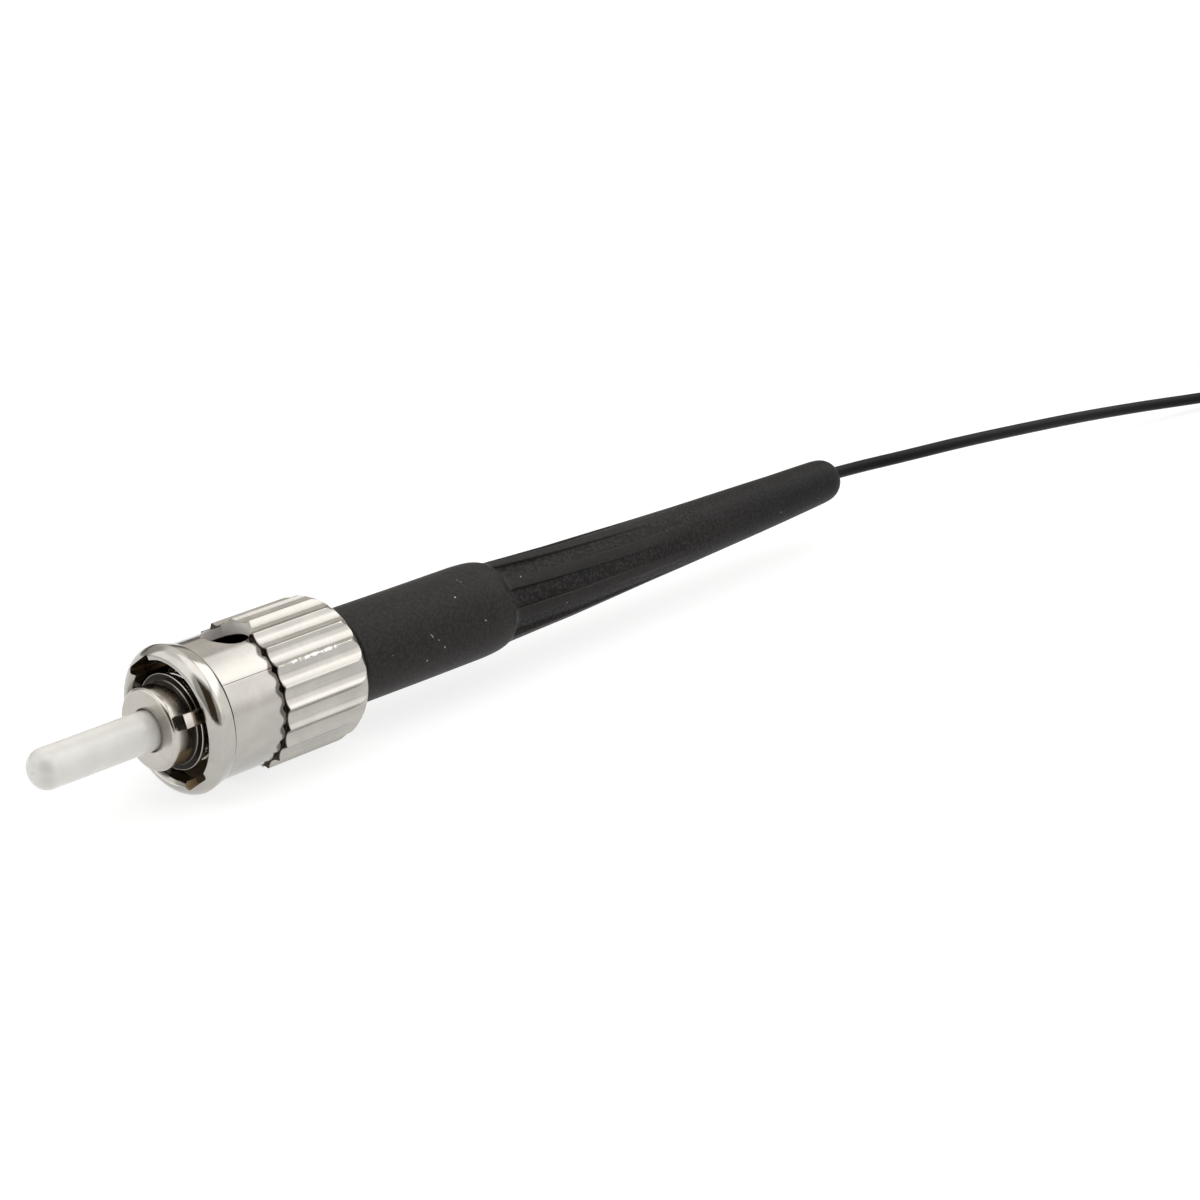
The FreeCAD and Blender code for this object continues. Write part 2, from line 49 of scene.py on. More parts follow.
# ------------------------------------------------------------------ camera
# At the photograph's angle: about 46 degrees round from the front of the
# connector and 22 degrees above it.
cam_data = bpy.data.cameras.new("camera")
cam_data.lens = 85.782
cam_data.sensor_width = 36.0
cam_data.sensor_fit = "HORIZONTAL"
cam_data.clip_start = 0.01
cam_data.clip_end = 20.0
camera = bpy.data.objects.new("camera", cam_data)
scene.collection.objects.link(camera)
right = Vector((0.69032834, -0.72349622, 0.0))
up = Vector((0.26801164, 0.25572495, 0.92885656))
ahead = Vector((0.67202421, 0.64121601, -0.37043959))
place = Matrix.Identity(4)
for i in range(3):
    place[i][0], place[i][1], place[i][2] = right[i], up[i], -ahead[i]
place.translation = Vector((-118.589, -123.367, 73.110)) * MM
camera.matrix_world = place
scene.camera = camera

# ------------------------------------------------------------------ places
# Each connector is drawn in millimetres along its own axis (x), its mating
# tip first, and then set down at its end of the cord.
AXIS = 4.66  # height of the connectors' axes over the floor, mm
NEAR = Matrix.Translation(Vector((-37.325, 0.0, AXIS)))
FAR = Matrix.Translation(Vector((179.75, -3.45, AXIS))) @ Matrix.Rotation(math.pi, 4, "Z")
TO_M = Matrix.Scale(MM, 4)
ENDS = {"near": NEAR, "far": FAR}


# ------------------------------------------------------------------ shading kit
class Shader:
    """One material, built from nodes."""

    def __init__(self, name):
        self.mat = bpy.data.materials.new(name)
        self.mat.use_nodes = True
        self.tree = self.mat.node_tree
        self.bsdf = self.tree.nodes["Principled BSDF"]
        self.local = None

    def node(self, kind, props=None, **inputs):
        n = self.tree.nodes.new(kind)
        for key, value in (props or {}).items():
            setattr(n, key, value)
        for key, value in inputs.items():
            sock = n.inputs[int(key[1:])] if key[0] == "i" and key[1:].isdigit() else n.inputs[key.replace("_", " ")]
            self.put(sock, value)
        return n

    def put(self, sock, value):
        if isinstance(value, bpy.types.NodeSocket):
            self.tree.links.new(value, sock)
        else:
            sock.default_value = value

    def set(self, **inputs):
        for key, value in inputs.items():
            self.put(self.bsdf.inputs[key.replace("_", " ")], value)

    def math(self, op, a, b=0.0, c=0.0, clamp=False):
        n = self.node("ShaderNodeMath", {"operation": op, "use_clamp": clamp}, i0=a, i1=b)
        if op in ("MULTIPLY_ADD", "SMOOTH_MIN", "SMOOTH_MAX", "COMPARE"):
            self.put(n.inputs[2], c)
        return n.outputs[0]

    def vmath(self, op, a, b=(0.0, 0.0, 0.0)):
        n = self.node("ShaderNodeVectorMath", {"operation": op}, i0=a)
        if op == "SCALE":
            self.put(n.inputs["Scale"], b)
        else:
            self.put(n.inputs[1], b)
        return n.outputs["Value"] if op in ("DOT_PRODUCT", "DISTANCE", "LENGTH") else n.outputs["Vector"]

    def ramp(self, value, lo, hi, to_lo=0.0, to_hi=1.0, smooth=True):
        n = self.node(
            "ShaderNodeMapRange",
            {"interpolation_type": "SMOOTHSTEP" if smooth else "LINEAR"},
            Value=value, From_Min=lo, From_Max=hi, To_Min=to_lo, To_Max=to_hi,
        )
        return n.outputs["Result"]

    def mix(self, factor, a, b):
        n = self.node("ShaderNodeMix", {"data_type": "RGBA"})
        self.put(n.inputs[0], factor)
        self.put(n.inputs[6], a)
        self.put(n.inputs[7], b)
        return n.outputs[2]

    def noise(self, vector, scale, detail=2.0, rough=0.5, distortion=0.0):
        n = self.node(
            "ShaderNodeTexNoise", None,
            Vector=vector, Scale=scale, Detail=detail, Roughness=rough, Distortion=distortion,
        )
        return n.outputs[0]

    def cells(self, vector, scale, feature="F1"):
        n = self.node("ShaderNodeTexVoronoi", {"feature": feature}, Vector=vector, Scale=scale)
        return n.outputs["Distance"]

    def place(self, attribute):
        """Position in millimetres: from the piece's own stored coordinates, or
        for a solid without them from the object's."""
        if attribute:
            n = self.node("ShaderNodeAttribute", {"attribute_name": attribute})
            self.local = n.outputs["Vector"]
        else:
            n = self.node("ShaderNodeTexCoord")
            self.local = self.vmath("SCALE", n.outputs["Object"], 1000.0)
        return self.local

    def polar(self):
        """Distance along the connector's axis, and out from it, in mm."""
        sep = self.node("ShaderNodeSeparateXYZ", None, Vector=self.local)
        y, z = sep.outputs[1], sep.outputs[2]
        rr = self.math("ADD", self.math("MULTIPLY", y, y), self.math("MULTIPLY", z, z))
        return sep.outputs[0], self.math("SQRT", rr)

    def combine(self, x, y, z=0.0):
        return self.node("ShaderNodeCombineXYZ", None, X=x, Y=y, Z=z).outputs[0]

    def bump(self, height, strength, distance_mm, normal=None):
        n = self.node("ShaderNodeBump", None, Strength=strength, Distance=distance_mm * MM, Height=height)
        if normal is not None:
            self.put(n.inputs["Normal"], normal)
        return n.outputs[0]


def rgb(r, g, b):
    """A colour given in 0 to 255 display values, as the linear one."""
    out = []
    for c in (r, g, b):
        c /= 255.0
        out.append(c / 12.92 if c <= 0.04045 else ((c + 0.055) / 1.055) ** 2.4)
    return (out[0], out[1], out[2], 1.0)


def nickel(name, attribute, tone=(206, 199, 189), dull=0.24, lines=1.0, stains_and_painted_shade=(), gloss=(), grip_shade_and_glints=False, metal=1.0):
    """Bright nickel plate on turned brass: fine rings from the turning tool,
    cloudy variation in gloss, small pits, and painted brown shade in the recesses."""
    s = Shader(name)
    p = s.place(attribute)
    u, r = s.polar()
    turned = s.noise(s.combine(u, r), 26.0, 3.0, 0.65)
    fine = s.noise(s.combine(u, r), 90.0, 1.0, 0.5)
    cloud = s.noise(p, 0.55, 3.0, 0.6, 0.4)
    grit = s.noise(p, 14.0, 3.0, 0.6)
    pits = s.ramp(s.cells(p, 2.6), 0.035, 0.075, 1.0, 0.0)
    base = s.mix(s.ramp(cloud, 0.32, 0.7), rgb(*[c - 9 for c in tone]), rgb(*tone))
    base = s.mix(s.math("MULTIPLY", s.ramp(turned, 0.45, 0.75), 0.22), base, rgb(*[c - 34 for c in tone]))
    base = s.mix(s.math("MULTIPLY", pits, 0.3), base, rgb(120, 108, 92))
    # each entry paints a colour over a zone; most are painted shade in hollows and behind edges
    for u0, u1, su, r0, r1, sr, depth, colour in stains_and_painted_shade:
        mask = s.math("MULTIPLY", s.ramp(u, u0 - su, u0 + su), s.ramp(u, u1 - su, u1 + su, 1.0, 0.0))
        mask = s.math("MULTIPLY", mask, s.math("MULTIPLY", s.ramp(r, r0 - sr, r0 + sr), s.ramp(r, r1 - sr, r1 + sr, 1.0, 0.0)))
        mask = s.math("MULTIPLY", mask, s.ramp(grit, 0.2, 0.75, 0.7 * depth, depth))
        base = s.mix(mask, base, rgb(*colour))
    if grip_shade_and_glints:
        # painted shade and reflection: a brown band on the collar in front of the grip, its reach following the height
        # of the grip's scalloped front wall
        sep = s.node("ShaderNodeSeparateXYZ", None, Vector=p)
        turn = s.math("MULTIPLY", s.math("ARCTAN2", sep.outputs[2], sep.outputs[1]), 180.0 / math.pi)
        turn = s.math("FLOORED_MODULO", turn, 360.0)
        cell = s.math("MULTIPLY", s.math("SUBTRACT", turn, FLUTE0 + PITCH / 2), 2.0 * math.pi / PITCH)
        ridge = s.math("MULTIPLY_ADD", s.math("COSINE", cell), 0.5, 0.5)
        reach = s.math("MULTIPLY_ADD", ridge, 0.26, 0.24)
        reach = s.math("MULTIPLY_ADD", s.math("SUBTRACT", grit, 0.5), 0.10, reach)
        ahead_of = s.math("SUBTRACT", 16.92, u)
        mask = s.ramp(s.math("SUBTRACT", ahead_of, reach), -0.10, 0.08, 1.0, 0.0)
        mask = s.math("MULTIPLY", mask, s.ramp(u, 16.2, 16.3))
        mask = s.math("MULTIPLY", mask, s.ramp(u, 16.95, 17.0, 1.0, 0.0))
        mask = s.math("MULTIPLY", mask, s.ramp(grit, 0.25, 0.7, 0.72, 0.9))
        base = s.mix(mask, base, rgb(56, 47, 38))
        # painted glints: near-white flecks along one nicked ridge
        off = s.math("ABSOLUTE", s.math("SUBTRACT", turn, 141.27))
        painted_glints = s.math("MULTIPLY", s.ramp(off, 0.9, 1.7, 1.0, 0.0), s.ramp(r, 4.50, 4.54))
        run = s.math("MULTIPLY", s.ramp(u, 17.9, 18.3), s.ramp(u, 21.2, 21.7, 1.0, 0.0))
        flecks = s.noise(p, 3.2, 3.0, 0.7)
        painted_glints = s.math("MULTIPLY", s.math("MULTIPLY", painted_glints, run), s.ramp(flecks, 0.46, 0.54))
        base = s.mix(painted_glints, base, rgb(252, 251, 249))
    rough = s.math("ADD", s.ramp(cloud, 0.25, 0.75, dull - 0.05, dull + 0.06), s.ramp(grit, 0.3, 0.7, -0.025, 0.04))
    rough = s.math("ADD", rough, s.math("MULTIPLY", pits, 0.2))
    for u0, u1, change in gloss:
        zone = s.math("MULTIPLY", s.ramp(u, u0 - 0.05, u0 + 0.05), s.ramp(u, u1 - 0.05, u1 + 0.05, 1.0, 0.0))
        rough = s.math("ADD", rough, s.math("MULTIPLY", zone, change))
    n1 = s.bump(turned, 0.22 * lines, 0.008)
    n2 = s.bump(fine, 0.12 * lines, 0.003, n1)
    n3 = s.bump(grit, 0.10, 0.006, n2)
    s.set(Base_Color=base, Metallic=metal, Roughness=rough, Normal=n3)
    return s.mat


def ceramic(name, attribute):
    """Ground zirconia: off-white, faintly translucent, with a fine grind."""
    s = Shader(name)
    p = s.place(attribute)
    u, r = s.polar()
    cloud = s.noise(p, 0.7, 2.0, 0.5)
    ground = s.noise(s.combine(u, r), 60.0, 2.0, 0.6)
    grit = s.noise(p, 30.0, 2.0, 0.6)
    base = s.mix(s.ramp(cloud, 0.3, 0.7), rgb(204, 202, 196), rgb(211, 209, 204))
    base = s.mix(s.math("MULTIPLY", s.ramp(ground, 0.5, 0.8), 0.10), base, rgb(192, 190, 183))
    rough = s.ramp(grit, 0.25, 0.75, 0.12, 0.17)
    s.set(Base_Color=base, Roughness=rough, Normal=s.bump(ground, 0.10, 0.003))
    s.set(Subsurface_Weight=0.12, Subsurface_Scale=0.0004, Subsurface_Radius=(1.0, 0.9, 0.75), IOR=1.75)
    return s.mat


def boot_rubber(name, specks):
    """Moulded charcoal elastomer: spark-eroded grain, strongest in the sunk panels,
    smoother on the ribs, and a little lint; with painted shade in the corners beside
    the ribs, painted highlights on their edges and a painted sheen on the sleeve."""
    s = Shader(name)
    p = s.place("local")
    u, r = s.polar()
    rib = s.node("ShaderNodeAttribute", {"attribute_name": "smooth"}).outputs["Fac"]
    grain = s.noise(p, 5.2, 2.0, 0.6)
    lumps = s.cells(p, 4.4)
    fine = s.noise(p, 28.0, 2.0, 0.55)
    cloud = s.noise(p, 0.35, 3.0, 0.55, 0.5)
    keep = s.math("MULTIPLY", s.ramp(rib, 0.0, 1.0, 1.0, 0.32), s.ramp(u, 36.6, 37.3, 0.42, 1.0))
    base = s.mix(s.ramp(cloud, 0.3, 0.72), rgb(29, 26, 25), rgb(34, 31, 30))
    # the front sleeve painted lighter: a painted sheen
    base = s.mix(s.ramp(u, 36.2, 37.2, 0.5, 0.0), base, rgb(46, 43, 42))
    base = s.mix(s.math("MULTIPLY", s.ramp(lumps, 0.12, 0.42, 0.75, 0.0), keep), base, rgb(48, 45, 44))
    base = s.mix(s.math("MULTIPLY", s.ramp(grain, 0.52, 0.8), keep), base, rgb(52, 49, 48))
    base = s.mix(s.math("MULTIPLY", s.ramp(lumps, 0.40, 0.68), s.math("MULTIPLY", keep, 0.85)), base, rgb(10, 9, 9))
    base = s.mix(s.ramp(u, 52.0, 66.0, 0.0, 0.6), base, rgb(12, 11, 12))
    # painted shade in the corners beside the ribs, strongest higher up and fading towards the tail
    painted_corner_shade = s.math("MULTIPLY", s.ramp(rib, 0.02, 0.14), s.ramp(rib, 0.42, 0.72, 1.0, 0.0))
    painted_corner_shade = s.math("MULTIPLY", painted_corner_shade, s.ramp(u, 47.0, 55.0, 0.85, 0.0))
    high = s.node("ShaderNodeSeparateXYZ", None, Vector=p).outputs[2]
    painted_corner_shade = s.math("MULTIPLY", painted_corner_shade, s.ramp(high, -1.7, -0.6, 0.2, 1.0))
    base = s.mix(painted_corner_shade, base, rgb(5, 4, 4))
    # and painted highlights along the ribs' edges
    worn = s.math("MULTIPLY", s.ramp(rib, 0.74, 0.90), s.ramp(rib, 0.94, 0.995, 1.0, 0.0))
    worn = s.math("MULTIPLY", worn, s.ramp(u, 46.0, 52.0, 0.5, 0.0))
    base = s.mix(worn, base, rgb(66, 62, 60))
    rough = s.math("ADD", s.ramp(fine, 0.3, 0.7, 0.42, 0.52), s.math("MULTIPLY", keep, 0.04))
    height = s.math("MULTIPLY", s.math("ADD", grain, s.math("MULTIPLY", lumps, -0.55)), keep)
    n1 = s.bump(height, 0.55, 0.06)
    n2 = s.bump(fine, 0.22, 0.012, n1)
    # lint and dust, each a small pale fleck or hair on the surface
    warped = s.vmath("ADD", p, s.vmath("SCALE", s.vmath("SUBTRACT", s.node("ShaderNodeTexNoise", None, Vector=p, Scale=9.0).outputs[1], (0.5, 0.5, 0.5)), 0.11))
    dust = None
    for (su, sphi, sr, size, level) in specks:
        a = math.radians(sphi)
        low = float(np.interp(su, DROOP_U, DROOP_Z))
        d = s.vmath("DISTANCE", warped, (su, sr * math.cos(a), sr * math.sin(a) + low))
        m = s.math("MULTIPLY", s.ramp(d, size * 0.36, size * 0.62, 1.0, 0.0), level * 0.8)
        dust = m if dust is None else s.math("MAXIMUM", dust, m)
    far_lint = s.ramp(s.cells(p, 0.62), 0.016, 0.026, 0.22, 0.0)
    dust = far_lint if dust is None else s.math("MAXIMUM", dust, far_lint)
    base = s.mix(dust, base, rgb(214, 210, 204))
    s.set(Base_Color=base, Roughness=rough, Normal=n2, Specular_IOR_Level=0.12)
    return s.mat


def buffer_jacket(name):
    """Tight black buffer: extruded, satin, with faint draw lines."""
    s = Shader(name)
    p = s.place(None)
    cloud = s.noise(p, 0.8, 3.0, 0.55)
    grit = s.noise(p, 22.0, 3.0, 0.6)
    base = s.mix(s.ramp(cloud, 0.3, 0.7), rgb(5, 5, 6), rgb(9, 9, 10))
    base = s.mix(s.math("MULTIPLY", s.ramp(grit, 0.6, 0.8), 0.3), base, rgb(20, 20, 21))
    rough = s.math("ADD", s.ramp(cloud, 0.3, 0.7, 0.34, 0.42), s.ramp(grit, 0.3, 0.7, -0.03, 0.05))
    s.set(Base_Color=base, Roughness=rough, Normal=s.bump(grit, 0.12, 0.01), Specular_IOR_Level=0.08)
    return s.mat


def moulded(name, light, dark, rough=(0.35, 0.5)):
    """Plain moulded plastic with flow marks."""
    s = Shader(name)
    p = s.place(None)
    flow = s.noise(p, 1.2, 3.0, 0.6, 0.8)
    grit = s.noise(p, 18.0, 2.0, 0.6)
    s.set(Base_Color=s.mix(s.ramp(flow, 0.3, 0.7), dark, light), Roughness=s.ramp(grit, 0.3, 0.7, rough[0], rough[1]))
    s.set(Normal=s.bump(grit, 0.15, 0.01))
    return s.mat


def glass(name):
    s = Shader(name)
    p = s.place(None)
    haze = s.noise(p, 20.0, 2.0, 0.5)
    s.set(Base_Color=s.mix(haze, rgb(206, 205, 200), rgb(214, 213, 208)), Roughness=s.ramp(haze, 0.3, 0.7, 0.05, 0.12))
    s.set(IOR=1.46, Coat_Weight=0.3)
    return s.mat


def woven(name):
    """Black loop-pile strap: a fine weave with raised fibres."""
    s = Shader(name)
    p = s.place("local")
    loops = s.cells(p, 7.5)
    fuzz = s.noise(p, 24.0, 3.0, 0.7)
    cloud = s.noise(p, 0.9, 2.0, 0.5)
    base = s.mix(s.ramp(loops, 0.1, 0.7), rgb(58, 58, 61), rgb(24, 24, 26))
    base = s.mix(s.math("MULTIPLY", s.ramp(cloud, 0.4, 0.7), 0.4), base, rgb(44, 43, 45))
    n1 = s.bump(s.math("MULTIPLY", loops, -1.0), 0.8, 0.05)
    n2 = s.bump(fuzz, 0.35, 0.02, n1)
    s.set(Base_Color=base, Roughness=s.ramp(fuzz, 0.3, 0.7, 0.75, 0.92), Normal=n2, Sheen_Weight=0.25, Sheen_Roughness=0.45)
    return s.mat


# ------------------------------------------------------------------ mesh kit
def ring_mesh(name, grid):
    """A closed skin from a grid of points: around the axis, then along a
    closed profile."""
    n, m = grid.shape[:2]
    idx = np.arange(n * m).reshape(n, m)
    a, b = idx, np.roll(idx, -1, axis=0)
    c, d = np.roll(b, -1, axis=1), np.roll(a, -1, axis=1)
    faces = np.stack([a, b, c, d], axis=-1).reshape(-1, 4)
    mesh = bpy.data.meshes.new(name)
    mesh.from_pydata(grid.reshape(-1, 3).tolist(), [], faces.tolist())
    tidy(mesh)
    return mesh


def tidy(mesh):
    bm = bmesh.new()
    bm.from_mesh(mesh)
    bmesh.ops.remove_doubles(bm, verts=bm.verts, dist=1e-5)
    bmesh.ops.recalc_face_normals(bm, faces=bm.faces)
    bm.to_mesh(mesh)
    bm.free()
    mesh.update()


def turned_grid(phi, profiles):
    """phi: angles in degrees; profiles: (len(phi), m, 2) of (along, out)."""
    a = np.radians(phi)[:, None]
    u, r = profiles[..., 0], profiles[..., 1]
    return np.stack([u, r * np.cos(a), r * np.sin(a)], axis=-1)


def lathe(name, profile, segments=96):
    prof = np.array(profile, float)
    phi = np.arange(segments) * 360.0 / segments
    return ring_mesh(name, turned_grid(phi, np.broadcast_to(prof, (segments,) + prof.shape)))


def arc(p, q, radius, n, bulge=1):
    """Points from p to q on an arc, p left out; bulge +1 is to the left."""
    p, q = np.array(p, float), np.array(q, float)
    mid, d = (p + q) / 2, q - p
    half = np.hypot(*d) / 2
    left = np.array([-d[1], d[0]]) / (2 * half)
    c = mid - bulge * left * math.sqrt(max(radius * radius - half * half, 0.0))
    a0 = math.atan2(*(p - c)[::-1])
    a1 = math.atan2(*(q - c)[::-1])
    if bulge > 0 and a1 > a0:
        a1 -= 2 * math.pi
    if bulge < 0 and a1 < a0:
        a1 += 2 * math.pi
    return [tuple(c + radius * np.array([math.cos(a), math.sin(a)])) for a in np.linspace(a0, a1, n + 1)[1:]]


def line(p, q, n):
    return [(p[0] + (q[0] - p[0]) * k / n, p[1] + (q[1] - p[1]) * k / n) for k in range(1, n + 1)]


def solid(name, build):
    bm = bmesh.new()
    build(bm)
    mesh = bpy.data.meshes.new(name)
    bmesh.ops.recalc_face_normals(bm, faces=bm.faces)
    bm.to_mesh(mesh)
    bm.free()
    return mesh


def block(u0, u1, r0, r1, width, phi, bevel=0.0):
    """A block standing out from the axis at the angle phi."""
    def build(bm):
        got = bmesh.ops.create_cube(bm, size=1.0)
        for v in got["verts"]:
            v.co = Vector(((u0 + u1) / 2 + v.co.x * (u1 - u0), (r0 + r1) / 2 + v.co.y * (r1 - r0), v.co.z * width))
        if bevel:
            bmesh.ops.bevel(bm, geom=list(bm.edges), offset=bevel, segments=3, profile=0.5, affect="EDGES")
        bmesh.ops.transform(bm, matrix=Matrix.Rotation(math.radians(phi), 4, "X"), verts=bm.verts)
    return solid("block", build)


def plug(u, phi, stations, segments=56):
    """A round cutter along a radius of the axis: stations are (out, radius)."""
    def build(bm):
        rings = []
        for h, rad in stations:
            rings.append([bm.verts.new((u + rad * math.cos(t), h, rad * math.sin(t))) for t in np.arange(segments) * 2 * math.pi / segments])
        for a, b in zip(rings, rings[1:]):
            for k in range(segments):
                bm.faces.new((a[k], a[(k + 1) % segments], b[(k + 1) % segments], b[k]))
        bm.faces.new(rings[0][::-1])
        bm.faces.new(rings[-1])
        bmesh.ops.transform(bm, matrix=Matrix.Rotation(math.radians(phi), 4, "X"), verts=bm.verts)
    return solid("plug", build)


def helix_channel(u0, u1, r0, r1, phi, rise, pitch, steps=56):
    """A cutter for a ramp that winds along the bore from a slot."""
    def build(bm):
        sweep = 360.0 * rise / pitch
        rings = []
        for k in range(steps + 1):
            t = k / steps
            a = math.radians(phi + sweep * t)
            du = rise * t
            rings.append([bm.verts.new((u + du, r * math.cos(a), r * math.sin(a))) for u, r in ((u0, r0), (u1, r0), (u1, r1), (u0, r1))])
        for a, b in zip(rings, rings[1:]):
            for k in range(4):
                bm.faces.new((a[k], a[(k + 1) % 4], b[(k + 1) % 4], b[k]))
        bm.faces.new(rings[0][::-1])
        bm.faces.new(rings[-1])
    return solid("channel", build)


def combine(mesh, others, operation):
    work = bpy.data.objects.new("work", mesh)
    scene.collection.objects.link(work)
    temp = []
    for other in others:
        o = bpy.data.objects.new("tool", other)
        scene.collection.objects.link(o)
        temp.append(o)
        mod = work.modifiers.new("tool", "BOOLEAN")
        mod.operation, mod.solver, mod.object = operation, "EXACT", o
        mod.material_mode = "TRANSFER"
    deps = bpy.context.evaluated_depsgraph_get()
    out = bpy.data.meshes.new_from_object(work.evaluated_get(deps))
    for o in temp + [work]:
        data = o.data
        bpy.data.objects.remove(o)
        bpy.data.meshes.remove(data)
    return out


def piece(name, mesh, end, body, node, material, angle=32.0):
    """A finished piece: keeps its own coordinates for the material, is set
    down in its place, and stands for its node."""
    count = len(mesh.vertices)
    co = np.empty(count * 3, np.float32)
    mesh.vertices.foreach_get("co", co)
    store = mesh.attributes.new("local", "FLOAT_VECTOR", "POINT")
    store.data.foreach_set("vector", co)
    mesh.transform(TO_M @ ENDS[end] if end else TO_M)
    mesh.shade_smooth()
    mesh.set_sharp_from_angle(angle=math.radians(angle))
    if material is not None:
        mesh.materials.clear()
        mesh.materials.append(material)
    mesh.name = name
    obj = bpy.data.objects.new(name, mesh)
    scene.collection.objects.link(obj)
    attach(obj, body)
    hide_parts(*([node] if isinstance(node, str) else node))
    return obj


# ------------------------------------------------------------------ coupling nut
FLUTES = 22
PITCH = 360.0 / FLUTES
FLUTE0 = 182.18  # angle of one flute's middle


def grip_radius(delta):
    """Radius of the grip at an angle from a flute's middle, degrees: round
    bottomed flutes with narrow rounded ridges between."""
    d = np.radians(delta)
    inside = np.maximum(0.81 - 27.668 * np.sin(d) ** 2, 0.0)
    flute = np.where(inside > 0.0, 5.26 * np.cos(d) - np.sqrt(inside), 4.9)
    k = 0.014
    return -k * np.log(np.exp(-(flute - 4.4) / k) + np.exp(-(4.655 - 4.4) / k)) + 4.4


def wobble(x, seed):
    """A fixed rough line in -1..1."""
    return (np.sin(x * 7.3 + seed) + np.sin(x * 17.1 + seed * 2.3) + np.sin(x * 31.7 + seed * 5.1)) / 3.0


def nut_mesh():
    steps = 18
    x = -1.0 + 2.0 * np.arange(steps) / steps
    one = PITCH / 2 * np.sin(x * math.pi / 2)
    phi = np.concatenate([FLUTE0 + k * PITCH + one for k in range(FLUTES)]) % 360.0
    seam = 139.0
    phi = np.unique(np.round(np.concatenate([phi, [seam - 0.35, seam - 0.18, seam, seam + 0.18, seam + 0.35]]), 4))
    delta = (phi - FLUTE0 + PITCH / 2) % PITCH - PITCH / 2
    radius = grip_radius(delta)
    rows = []
    for ph, rg in zip(phi, radius):
        lip = [(11.80, 3.65), (11.735, 3.654), (11.69, 3.672), (11.50, 3.80), (11.455, 3.838), (11.428, 3.885)]
        pts = list(lip)
        pts += arc(lip[-1], (12.15, 4.62), 0.88, 16)
        pts += arc((12.15, 4.62), (12.94, 4.44), 5.0, 10)
        pts += [(12.965, 4.425), (12.975, 4.36), (12.98, 4.23), (12.995, 4.205), (13.06, 4.20), (13.085, 4.215), (13.095, 4.285), (13.12, 4.30)]
        cut = 0.03 if abs(ph - seam) < 0.05 else (0.012 if abs(ph - seam) < 0.2 else 0.0)
        collar = line((13.12, 4.30), (16.80, 4.30), 32)
        pts += [(u, r - cut * (1.0 if 13.15 < u < 16.7 else 0.0)) for u, r in collar]
        top = rg
        pts += [(16.86, 4.30), (16.89, 4.306), (16.90, 4.325)]
        pts += [(16.90, 4.325 + (top - 0.05 - 4.325) * t) for t in (0.33, 0.66, 1.0)] if top > 4.40 else [(16.90, 4.325 + (top - 0.012 - 4.325) * t) for t in (0.33, 0.66, 1.0)]
        edge = min(0.05, max(top - 4.34, 0.006))
        pts += [(16.90 + 0.012, top - 0.55 * edge + 0.02 * edge), (16.93, top - 0.12 * edge), (16.97, top)]
        ridge_turn = (ph - 141.27 + 180.0) % 360.0 - 180.0
        uc = 22.4 + math.sqrt(max(1.96 - (rg - 3.26) ** 2, 0.0))
        body = line((16.97, top), (uc, top), 44)
        if abs(ridge_turn) < 1.6:
            worn = []
            for u, r in body:
                bite = 0.0
                if 18.1 < u < 21.4:
                    bite = 0.075 * max(0.0, wobble(u * 1.25, 0.7)) * (1.0 - abs(ridge_turn) / 1.6)
                    bite -= 0.03 * max(0.0, wobble(u * 1.9, 2.9)) * (1.0 - abs(ridge_turn) / 1.6)
                if 17.25 < u < 17.6:
                    bite = 0.05 * (1.0 - abs(ridge_turn) / 1.6)
                worn.append((u, min(r - bite, 4.66)))
            body = worn
        pts += body
        a0 = math.acos(min((rg - 3.26) / 1.4, 1.0))
        pts += [(22.4 + 1.4 * math.sin(a), 3.26 + 1.4 * math.cos(a)) for a in np.linspace(a0, math.pi / 2, 13)[1:]]
        pts += [(23.8, 2.95), (23.8, 2.65), (23.8, 2.40), (23.775, 2.35), (23.72, 2.315)]
        pts += line((23.72, 2.315), (22.3, 2.315), 3)
        pts += [(22.3, 2.8), (22.3, 3.3), (22.3, 3.58), (22.27, 3.63), (22.2, 3.65)]
        pts += line((22.2, 3.65), (11.80, 3.65), 30)[:-1]
        rows.append(pts)
    mesh = ring_mesh("nut", turned_grid(phi, np.array(rows)))
    mesh.materials.append(NUT)
    tools = []
    for turn in (0.0, 180.0):
        tools.append(block(11.0, 14.2, 3.05, 4.06, 2.3, 52.0 + turn, 0.26))
        tools.append(helix_channel(12.1, 14.2, 3.25, 4.0, 52.0 + turn, 2.67, 5.1667))
        for tool in tools[-2:]:
            tool.materials.append(SLOT_PAINTED_LIGHTER if turn else SLOTTED)
        tools.append(plug(16.2, 88.0 + turn, ((2.9, 1.5), (4.19, 1.5), (4.33, 1.58), (5.6, 1.62))))
        tools[-1].materials.append(DRILLED)
    return combine(mesh, tools, "DIFFERENCE")


